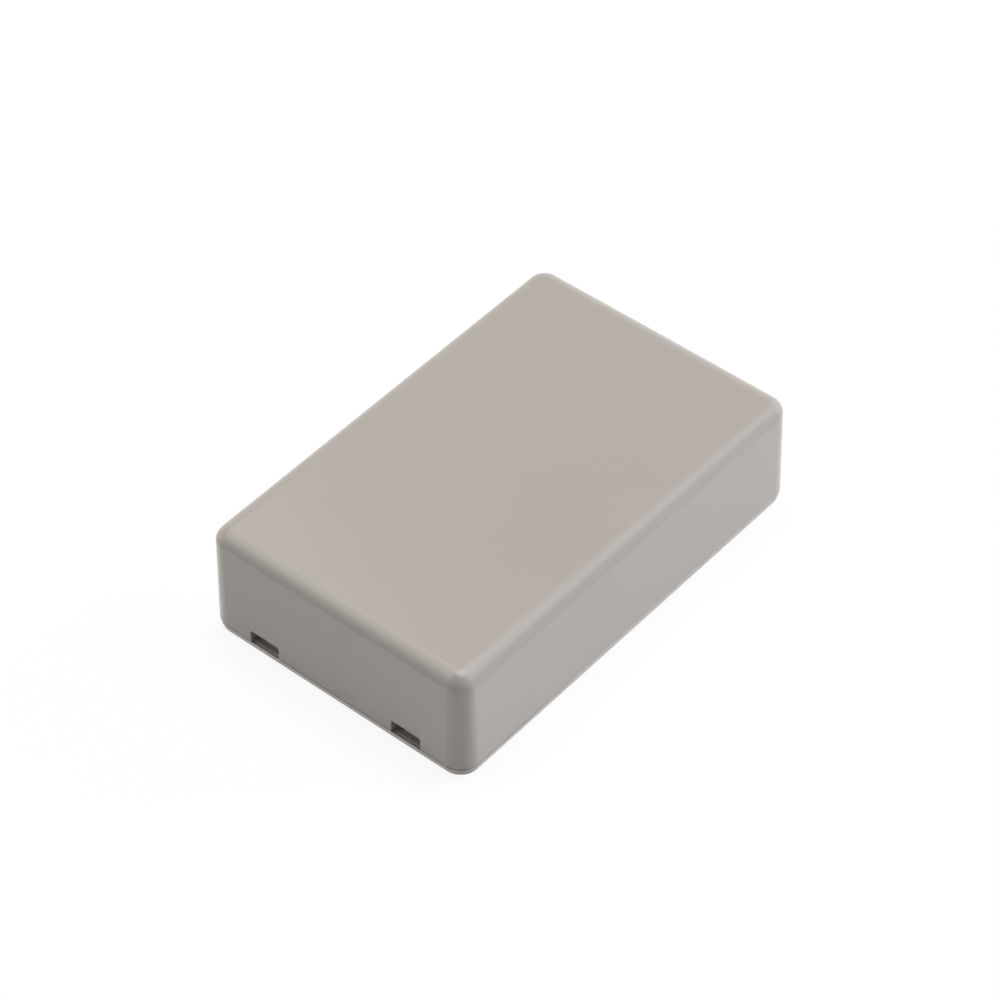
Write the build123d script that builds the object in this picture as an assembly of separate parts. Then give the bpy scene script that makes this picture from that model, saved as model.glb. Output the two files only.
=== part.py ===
from build123d import *

import os
from math import radians, tan

# A small plastic project box of two mouldings: a deep cover, and a base plate that snaps into it.
# Millimetres. X is along the length, Y along the width and Z up. The origin is the middle of the underside.

# Outside of the closed box. Length and width are taken at the cover's lower edge, where it is widest.
LENGTH = 70.0
WIDTH = 45.0
HEIGHT = 18.0

# Cover: an even wall all round, drawn in by the draft on its way up.
WALL = 1.6
ROOF = 1.6
DRAFT = 1.1
CORNER_RADIUS = 3.1
LEAST_INSIDE_RADIUS = 0.3

# The rounding of the cover's top edge. It is set out a little from the walls and leaves them at a crease,
# which is plain to see on the end walls and hardly there on the sides.
TOP_EDGE_RADIUS = 2.5
CREASE_SET_OUT_ENDS = 0.10
CREASE_SET_OUT_SIDES = 0.02

# Base plate: its rim is flush with the cover at the joint, leans in below it and ends in a rounded edge.
PLATE = 1.45
RIM_LEAN = 13.0
BOTTOM_EDGE_RADIUS = 0.3

# Fine gap that opens the joint outside at the -X end, where it shows as a dark line. It is sunk into
# the plate, runs across that end and round its corners, and fades out along the sides.
JOINT_GAP = 0.18
JOINT_GAP_DEPTH = 0.5
JOINT_GAP_RUN = 12.0
JOINT_GAP_FADE = 13.0

# Notches in the lower edge of both end walls, where a flat blade pushes a snap arm in.
NOTCH_WIDTH = 5.0
NOTCH_HEIGHT = 2.0
NOTCH_FROM_SIDE = 10.0
NOTCH_CORNER_RADIUS = 0.3
NOTCH_EDGE_RADIUS = 0.12

# Lip on the plate, which centres the cover.
LIP_HEIGHT = 2.5
LIP_THICKNESS = 1.2
SLIP_FIT = 0.15
LEAD_IN = 0.4

# Snap arms on the plate, one behind each notch, with a nib that bites into a pocket in the wall.
ARM_WIDTH = 4.0
ARM_THICKNESS = 1.2
ARM_SIDE_GAP = 0.7
ARM_FOOT_RADIUS = 0.5
ARM_TIP = 0.3
LEDGE = 0.7
NIB_BITE = 0.35
NIB_LAND = 0.3
NIB_LEAD_IN = 1.1
NIB_CLEARANCE = 0.1

# Posts on the plate that carry a circuit board on self-tapping screws.
POST_FROM_END = 8.0
POST_FROM_SIDE = 7.0
POST_HEIGHT = 3.0
POST_DIAMETER = 4.5
POST_FOOT_RADIUS = 0.5
PILOT_DIAMETER = 1.8
PILOT_FLOOR = 1.0

# Heights and places that follow from the sizes above.
NOTCH_TOP = PLATE + NOTCH_HEIGHT
NIB_BOTTOM = NOTCH_TOP + LEDGE + NIB_CLEARANCE
NOTCH_Y = WIDTH / 2 - NOTCH_FROM_SIDE
POST_X = LENGTH / 2 - POST_FROM_END
POST_Y = WIDTH / 2 - POST_FROM_SIDE
POST_TOP = PLATE + POST_HEIGHT
CUT_OVERRUN = 1.0


def lean(height):
    """How far a drafted face has moved in at a height above the cover's lower edge."""
    return (height - PLATE) * tan(radians(DRAFT))


def wall_inside(height):
    """X of the inner face of the cover's end wall at a height."""
    return LENGTH / 2 - WALL - lean(height)


def arm_face(height):
    """X of a snap arm's outer face at a height: a slip fit inside the cover's wall."""
    return wall_inside(height) - SLIP_FIT


def inside_radius(outer_radius, depth):
    """Radius of a rounded corner as it runs on at a depth behind the outer face."""
    return max(outer_radius - depth, LEAST_INSIDE_RADIUS)


def drafted_block(inset, bottom, top, taper=DRAFT):
    """A block whose rounded outline lies at an inset from the box's outline, and leans in as it rises."""
    outline = RectangleRounded(
        LENGTH - 2 * inset, WIDTH - 2 * inset, inside_radius(CORNER_RADIUS, inset)
    )
    return Pos(0, 0, bottom) * extrude(outline, top - bottom, taper=taper)


def top_edges(block):
    """The edges round the top face of a block."""
    return block.faces().sort_by(Axis.Z)[-1].edges()


def at_notches(piece):
    """Copies of a piece drawn at Y = 0 on the +X end, one for each notch on both ends."""
    one_end = [Pos(0, y, 0) * piece for y in (-NOTCH_Y, NOTCH_Y)]
    other_end = [Rot(0, 0, 180) * copy for copy in one_end]
    return one_end + other_end


def across(outline, width):
    """A solid with an outline drawn in the XZ plane, as wide as given, half to each side of Y = 0."""
    return extrude(Plane.XZ * outline, width / 2, both=True)


def nib_tip():
    """X of the nib's tip, inside the cover's wall."""
    return wall_inside(NIB_BOTTOM) + NIB_BITE


def nib_heights():
    """Heights of the nib's underside at its tip, of the land's upper end and of the end of the lead-in."""
    slope_top = NIB_BOTTOM + nib_tip() - arm_face(NIB_BOTTOM)
    land_top = slope_top + NIB_LAND
    return slope_top, land_top, land_top + NIB_LEAD_IN


def nib_outline():
    """Outline of a nib: a 45 degree underside, a short land and a long lead-in, rooted in its arm."""
    slope_top, land_top, lead_top = nib_heights()
    root = arm_face(NIB_BOTTOM) - ARM_THICKNESS / 2
    return Polygon(
        (root, NIB_BOTTOM),
        (arm_face(NIB_BOTTOM), NIB_BOTTOM),
        (nib_tip(), slope_top),
        (nib_tip(), land_top),
        (arm_face(lead_top), lead_top),
        (root, lead_top),
        align=None,
    )


def arm_outline():
    """Outline of an arm without its nib: a leaning outer face, an upright inner face and a rounded foot."""
    top = nib_heights()[2] + ARM_TIP
    inner = arm_face(PLATE) - ARM_THICKNESS
    sole = PLATE / 2
    sides = Polyline(
        (inner - ARM_FOOT_RADIUS, PLATE),
        (inner - ARM_FOOT_RADIUS, sole),
        (arm_face(sole), sole),
        (arm_face(top), top),
        (inner, top),
        (inner, PLATE + ARM_FOOT_RADIUS),
    )
    foot = RadiusArc(
        (inner, PLATE + ARM_FOOT_RADIUS), (inner - ARM_FOOT_RADIUS, PLATE), ARM_FOOT_RADIUS
    )
    return make_face(sides.edges() + foot.edges())


def notch_cutter():
    """A block through an end wall, open at the cover's lower edge, with its upper corners rounded."""
    block = Pos(LENGTH / 2, 0, PLATE) * Box(4 * WALL, NOTCH_WIDTH, 2 * NOTCH_HEIGHT)
    corners = block.edges().filter_by(Axis.X).group_by(Axis.Z)[-1]
    return fillet(corners, NOTCH_CORNER_RADIUS)


def is_notch_edge(edge):
    """Whether an edge lies on the outer end face of the cover and round a notch."""
    middle = edge.center()
    on_outer_face = abs(middle.X) > LENGTH / 2 - WALL / 4
    beside_notch = abs(abs(middle.Y) - NOTCH_Y) < NOTCH_WIDTH * 0.51
    above_lower_edge = PLATE + NOTCH_EDGE_RADIUS < middle.Z < NOTCH_TOP + NOTCH_EDGE_RADIUS
    return on_outer_face and beside_notch and above_lower_edge


def catch_pocket():
    """The pocket that a nib seats in: the nib grown by its clearance."""
    grown = offset(nib_outline(), NIB_CLEARANCE, kind=Kind.INTERSECTION)
    return across(grown, ARM_WIDTH + 2 * NIB_CLEARANCE)


def crown():
    """A block with the rounded top edge, set out from the walls, so that it cuts them at the crease."""
    outline = RectangleRounded(
        LENGTH + 2 * CREASE_SET_OUT_ENDS,
        WIDTH + 2 * CREASE_SET_OUT_SIDES,
        CORNER_RADIUS + CREASE_SET_OUT_SIDES,
    )
    block = Pos(0, 0, PLATE) * extrude(outline, HEIGHT - PLATE, taper=DRAFT)
    return fillet(top_edges(block), min(TOP_EDGE_RADIUS, CORNER_RADIUS - lean(HEIGHT) - 0.1))


def top_cover():
    """The deep shell: drafted walls, a rounded roof, notches at both ends and pockets for the nibs."""
    outside = drafted_block(0, PLATE, HEIGHT) & crown()
    hollow = drafted_block(WALL, PLATE, HEIGHT - ROOF)
    hollow = fillet(top_edges(hollow), inside_radius(TOP_EDGE_RADIUS, WALL))
    shell = outside - hollow
    shell -= at_notches(notch_cutter())
    shell = fillet([edge for edge in shell.edges() if is_notch_edge(edge)], NOTCH_EDGE_RADIUS)
    return shell - at_notches(catch_pocket())


def joint_gap():
    """The gap's ring round the plate's upper edge, cut to a height that fades out along the sides."""
    ring = drafted_block(-CUT_OVERRUN, 0, PLATE, 0) - drafted_block(JOINT_GAP_DEPTH, 0, PLATE, 0)
    beyond = -LENGTH / 2 - CUT_OVERRUN
    open_to = -LENGTH / 2 + JOINT_GAP_RUN
    height = Polygon(
        (beyond, PLATE),
        (beyond, PLATE - JOINT_GAP),
        (open_to, PLATE - JOINT_GAP),
        (open_to + JOINT_GAP_FADE, PLATE),
        align=None,
    )
    return ring & across(height, WIDTH + 2 * CUT_OVERRUN)


def plate():
    """The flat plate: its rim leans in to a rounded lower edge, and a gap opens the joint at one end."""
    slab = drafted_block(PLATE * tan(radians(RIM_LEAN)), 0, PLATE, -RIM_LEAN)
    slab = fillet(slab.faces().sort_by(Axis.Z)[0].edges(), BOTTOM_EDGE_RADIUS)
    return slab - joint_gap()


def lip():
    """The ring that centres the cover, chamfered on top and open where the snap arms stand."""
    top = PLATE + LIP_HEIGHT
    outer = drafted_block(WALL + SLIP_FIT, PLATE, top)
    outer = chamfer(top_edges(outer), LEAD_IN)
    inner = drafted_block(WALL + SLIP_FIT + LIP_THICKNESS, PLATE, top, -DRAFT)
    opening = Pos(LENGTH / 2, 0, PLATE + LIP_HEIGHT) * Box(
        4 * (WALL + SLIP_FIT + LIP_THICKNESS), ARM_WIDTH + 2 * ARM_SIDE_GAP, 2 * LIP_HEIGHT
    )
    return outer - inner - at_notches(opening)


def snap_arm():
    """An upright arm with its nib, of one width."""
    return across(arm_outline(), ARM_WIDTH) + across(nib_outline(), ARM_WIDTH)


def nib_slot():
    """The slot through the plate under a nib, which lets the mould form the nib's underside."""
    start = arm_face(PLATE)
    depth = nib_tip() + NIB_CLEARANCE - start
    height = PLATE + CUT_OVERRUN
    block = Box(
        depth, ARM_WIDTH + 2 * NIB_CLEARANCE, height, align=(Align.MIN, Align.CENTER, Align.MAX)
    )
    return Pos(start, 0, PLATE) * block


def board_post():
    """A round post with drafted sides and a rounded foot, turned about Z."""
    top_radius = POST_DIAMETER / 2
    foot_radius = top_radius + POST_HEIGHT * tan(radians(DRAFT))
    sides = Polyline(
        (foot_radius, 0, PLATE + POST_FOOT_RADIUS),
        (top_radius, 0, POST_TOP),
        (0, 0, POST_TOP),
        (0, 0, PLATE),
        (foot_radius + POST_FOOT_RADIUS, 0, PLATE),
    )
    foot = ThreePointArc(
        (foot_radius + POST_FOOT_RADIUS, 0, PLATE),
        (
            foot_radius + POST_FOOT_RADIUS * (1 - 0.5**0.5),
            0,
            PLATE + POST_FOOT_RADIUS * (1 - 0.5**0.5),
        ),
        (foot_radius, 0, PLATE + POST_FOOT_RADIUS),
    )
    return revolve(make_face(sides.edges() + foot.edges()), Axis.Z)


def pilot_hole():
    """The blind hole down a post for a self-tapping screw."""
    return Pos(0, 0, PILOT_FLOOR) * Cylinder(
        PILOT_DIAMETER / 2,
        POST_TOP + CUT_OVERRUN - PILOT_FLOOR,
        align=(Align.CENTER, Align.CENTER, Align.MIN),
    )


def at_posts(piece):
    """Copies of a piece at the four board posts."""
    return [Pos(x, y, 0) * piece for x in (-POST_X, POST_X) for y in (-POST_Y, POST_Y)]


def base_plate():
    """The plate with its lip, snap arms and board posts, moulded as one."""
    body = plate() + lip() + at_notches(snap_arm()) + at_posts(board_post())
    body -= at_notches(nib_slot())
    return body - at_posts(pilot_hole())


os.makedirs("parts", exist_ok=True)
export_step(top_cover(), "parts/top_cover.step")
export_step(base_plate(), "parts/base_plate.step")
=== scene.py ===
import math

import bpy
import numpy as np
from mathutils import Matrix, Vector


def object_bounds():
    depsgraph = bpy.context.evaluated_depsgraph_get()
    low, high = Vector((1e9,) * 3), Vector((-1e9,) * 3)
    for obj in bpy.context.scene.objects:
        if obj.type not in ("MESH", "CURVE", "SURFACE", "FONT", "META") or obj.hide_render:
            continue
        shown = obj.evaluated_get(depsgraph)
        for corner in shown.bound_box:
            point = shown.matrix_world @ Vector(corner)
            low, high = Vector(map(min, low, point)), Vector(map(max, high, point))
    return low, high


# The small warm-grey ABS project box, closed and standing on its base plate, in soft studio light.
# Everything is in metres, with the origin in the middle of the underside and Z up.

MM = 0.001

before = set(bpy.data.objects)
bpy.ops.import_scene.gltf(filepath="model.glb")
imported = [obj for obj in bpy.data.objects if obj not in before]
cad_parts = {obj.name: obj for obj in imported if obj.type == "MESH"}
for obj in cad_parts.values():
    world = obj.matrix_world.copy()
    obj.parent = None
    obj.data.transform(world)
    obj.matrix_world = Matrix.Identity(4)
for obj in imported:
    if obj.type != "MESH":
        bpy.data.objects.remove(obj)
CAD_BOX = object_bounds()

# Camera: a long lens on a 36 mm wide sensor, half a metre away, above the near corner of the box.
CAMERA_AZIMUTH = math.radians(-49.59)
CAMERA_ELEVATION = math.radians(45.24)
CAMERA_ROLL = math.radians(-0.40)
CAMERA_DISTANCE = 522.4 * MM
CAMERA_LENS = 138.27
CAMERA_SENSOR = 36.0
CAMERA_OFFSET_RIGHT = 0.57 * MM
CAMERA_OFFSET_UP = -1.40 * MM

# Colours of the moulded plastic, of the stage and of the light.
ABS_GREY = "#BAB2A9"
ABS_GREY_FLOW = "#BCB4AB"
WHITE = "#FFFFFF"
CARD_WHITE = "#F6F6F6"
COOL_WHITE = "#EEF3FF"

# Stage. The floor shows as a glow that stands for even white, with a small share of the real, shaded card.
FLOOR_SIZE = 3.0
FLOOR_LEVEL = -0.01 * MM
FLOOR_BRIGHTNESS = 0.90
FLOOR_SHADE_SHARE = 0.14
FLOOR_GLOW = FLOOR_BRIGHTNESS / (1 - FLOOR_SHADE_SHARE)

# Softboxes round the box: azimuth from +X and elevation in degrees, width and height in metres, power in
# watts, colour, and whether gloss shows it. The two lowest are kept out of the gloss, where they would be
# hard white spots, and the one at the long side is a little cooler than the rest.
LAMP_DISTANCE = 1.0
SOFTBOXES = {
    "overhead": (0, 78, 0.60, 0.60, 4.1, WHITE, True),
    "behind_high": (80, 60, 0.80, 0.50, 2.1, WHITE, True),
    "behind_low": (96, 8, 0.45, 0.25, 3.2, WHITE, False),
    "end_middle": (132, 50, 0.40, 0.40, 0.75, WHITE, True),
    "end_low": (147, 33, 0.40, 0.40, 0.2, WHITE, True),
    "side_high": (315, 47, 0.60, 0.60, 1.4, WHITE, True),
    "side_low": (325, 14, 0.45, 0.45, 6.5, COOL_WHITE, False),
}

# Surface of the moulded plastic. The roughness shifts while the flow noise goes from its low to its high
# level, and stays even beyond them.
ABS_IOR = 1.53
ABS_ROUGHNESS = 0.20
ABS_ROUGHNESS_SPREAD = 0.02
FLOW_PITCH = 22 * MM
FLOW_DETAIL = 2.0
FLOW_LOW = 0.3
FLOW_HIGH = 0.7
SINK_PITCH = 9 * MM
SINK_DETAIL = 0.0
SINK_DEPTH = 0.010 * MM
GRAIN_PITCH = 0.16 * MM
GRAIN_DETAIL = 3.0
GRAIN_DEPTH = 0.0016 * MM


def linear(hex_colour):
    """Linear red, green, blue and alpha of an sRGB hex colour."""
    channels = np.array([int(hex_colour[i : i + 2], 16) for i in (1, 3, 5)]) / 255
    curve = np.where(channels <= 0.04045, channels / 12.92, ((channels + 0.055) / 1.055) ** 2.4)
    return (*curve.tolist(), 1.0)


def add_node(tree, kind, inputs=None, **settings):
    """Adds one node, with its settings, and each input given as a value or as the socket that feeds it."""
    made = tree.nodes.new(kind)
    for name, value in settings.items():
        setattr(made, name, value)
    for name, value in (inputs or {}).items():
        if isinstance(value, bpy.types.NodeSocket):
            tree.links.new(value, made.inputs[name])
        else:
            made.inputs[name].default_value = value
    return made


def new_material(name):
    """An empty node material with its output node."""
    material = bpy.data.materials.new(name)
    material.use_nodes = True
    material.node_tree.nodes.clear()
    output = material.node_tree.nodes.new("ShaderNodeOutputMaterial")
    return material, material.node_tree, output


def moulded_abs(name):
    """Warm-grey ABS as it comes from a fine spark-eroded mould: an even satin with a soft sheen.

    Slow flow bands shift the colour and the gloss by a hair, shallow sink waves bend the reflections,
    and the mould's grain breaks them up. The real grain is about 0.05 mm and is drawn at 0.16 mm.
    """
    material, tree, output = new_material(name)
    place = add_node(tree, "ShaderNodeTexCoord").outputs["Object"]
    flow = add_node(
        tree,
        "ShaderNodeTexNoise",
        {"Vector": place, "Scale": 1 / FLOW_PITCH, "Detail": FLOW_DETAIL},
    ).outputs["Fac"]
    sink = add_node(
        tree,
        "ShaderNodeTexNoise",
        {"Vector": place, "Scale": 1 / SINK_PITCH, "Detail": SINK_DETAIL},
    ).outputs["Fac"]
    grain = add_node(
        tree,
        "ShaderNodeTexNoise",
        {"Vector": place, "Scale": 1 / GRAIN_PITCH, "Detail": GRAIN_DETAIL},
    ).outputs["Fac"]
    colour = add_node(
        tree,
        "ShaderNodeMix",
        {"Factor": flow, "A": linear(ABS_GREY), "B": linear(ABS_GREY_FLOW)},
        data_type="RGBA",
    ).outputs["Result"]
    roughness = add_node(
        tree,
        "ShaderNodeMapRange",
        {
            "Value": flow,
            "From Min": FLOW_LOW,
            "From Max": FLOW_HIGH,
            "To Min": ABS_ROUGHNESS - ABS_ROUGHNESS_SPREAD,
            "To Max": ABS_ROUGHNESS + ABS_ROUGHNESS_SPREAD,
        },
    ).outputs["Result"]
    waves = add_node(
        tree, "ShaderNodeBump", {"Height": sink, "Distance": SINK_DEPTH, "Strength": 1.0}
    ).outputs["Normal"]
    surface = add_node(
        tree,
        "ShaderNodeBump",
        {"Height": grain, "Distance": GRAIN_DEPTH, "Strength": 1.0, "Normal": waves},
    ).outputs["Normal"]
    plastic = add_node(
        tree,
        "ShaderNodeBsdfPrincipled",
        {"Base Color": colour, "Roughness": roughness, "IOR": ABS_IOR, "Normal": surface},
    ).outputs["BSDF"]
    tree.links.new(plastic, output.inputs["Surface"])
    return material


def shows_background(tree):
    """1 for rays that show the white background, in view, gloss or glass, and 0 for diffuse rays."""
    rays = add_node(tree, "ShaderNodeLightPath").outputs
    seen = add_node(
        tree,
        "ShaderNodeMath",
        {0: rays["Is Camera Ray"], 1: rays["Is Transmission Ray"]},
        operation="MAXIMUM",
    ).outputs[0]
    return add_node(
        tree, "ShaderNodeMath", {0: seen, 1: rays["Is Glossy Ray"]}, operation="MAXIMUM"
    ).outputs[0]


def white_card(name):
    """Matt white card: it lights the box as card does, and shows as even white with a faint shadow."""
    material, tree, output = new_material(name)
    card = add_node(tree, "ShaderNodeBsdfDiffuse", {"Color": linear(CARD_WHITE)}).outputs[0]
    glow = add_node(
        tree, "ShaderNodeEmission", {"Color": linear(WHITE), "Strength": FLOOR_GLOW}
    ).outputs[0]
    evened = add_node(
        tree, "ShaderNodeMixShader", {0: FLOOR_SHADE_SHARE, 1: glow, 2: card}
    ).outputs[0]
    surface = add_node(
        tree, "ShaderNodeMixShader", {0: shows_background(tree), 1: card, 2: evened}
    ).outputs[0]
    tree.links.new(surface, output.inputs["Surface"])
    return material


def dress_box():
    """Gives both mouldings the plastic's finish."""
    plastic = moulded_abs("moulded_abs_warm_grey")
    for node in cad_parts.values():
        node.data.materials.clear()
        node.data.materials.append(plastic)


def floor():
    """A square sheet of card under the box, a hair below its underside, so that no faces share a plane."""
    half = FLOOR_SIZE / 2
    outline = ((-half, -half), (half, -half), (half, half), (-half, half))
    corners = [(x, y, FLOOR_LEVEL) for x, y in outline]
    mesh = bpy.data.meshes.new("floor")
    mesh.from_pydata(corners, [], [(0, 1, 2, 3)])
    sheet = bpy.data.objects.new("floor", mesh)
    bpy.context.scene.collection.objects.link(sheet)
    mesh.materials.append(white_card("white_card"))


def surroundings():
    """A white room all round, which shows as plain white and leaves the diffuse light to the lamps."""
    world = bpy.data.worlds.new("studio")
    world.use_nodes = True
    tree = world.node_tree
    tree.nodes.clear()
    output = tree.nodes.new("ShaderNodeOutputWorld")
    plain = add_node(
        tree, "ShaderNodeBackground", {"Color": linear(WHITE), "Strength": shows_background(tree)}
    ).outputs[0]
    tree.links.new(plain, output.inputs["Surface"])
    bpy.context.scene.world = world


def softbox(name, azimuth, elevation, width, height, power, colour, in_gloss):
    """An area lamp on a dome round the box, facing its middle."""
    lamp = bpy.data.lights.new(name, "AREA")
    lamp.shape = "RECTANGLE"
    lamp.size = width
    lamp.size_y = height
    lamp.energy = power
    lamp.color = linear(colour)[:3]
    holder = bpy.data.objects.new(name, lamp)
    holder.visible_glossy = in_gloss
    bpy.context.scene.collection.objects.link(holder)
    a, e = math.radians(azimuth), math.radians(elevation)
    towards = Vector((math.cos(a) * math.cos(e), math.sin(a) * math.cos(e), math.sin(e)))
    holder.location = towards * LAMP_DISTANCE
    holder.rotation_euler = (-towards).to_track_quat("-Z", "Y").to_euler()


def camera():
    """The camera looks down at the near corner: its axes come from azimuth, elevation and a small roll."""
    a, e, roll = CAMERA_AZIMUTH, CAMERA_ELEVATION, CAMERA_ROLL
    back = Vector((math.sin(a) * math.cos(e), -math.cos(a) * math.cos(e), math.sin(e)))
    level_right = Vector((math.cos(a), math.sin(a), 0.0))
    level_up = back.cross(level_right)
    right = level_right * math.cos(roll) + level_up * math.sin(roll)
    up = level_up * math.cos(roll) - level_right * math.sin(roll)
    middle = (CAD_BOX[0] + CAD_BOX[1]) / 2
    place = middle + back * CAMERA_DISTANCE - right * CAMERA_OFFSET_RIGHT - up * CAMERA_OFFSET_UP
    data = bpy.data.cameras.new("camera")
    data.lens = CAMERA_LENS
    data.sensor_width = CAMERA_SENSOR
    made = bpy.data.objects.new("camera", data)
    bpy.context.scene.collection.objects.link(made)
    made.matrix_world = Matrix.Translation(place) @ Matrix((right, up, back)).transposed().to_4x4()
    bpy.context.scene.camera = made


camera()
surroundings()
floor()
dress_box()
for name, values in SOFTBOXES.items():
    softbox(name, *values)
bpy.context.scene.view_settings.view_transform = "Standard"
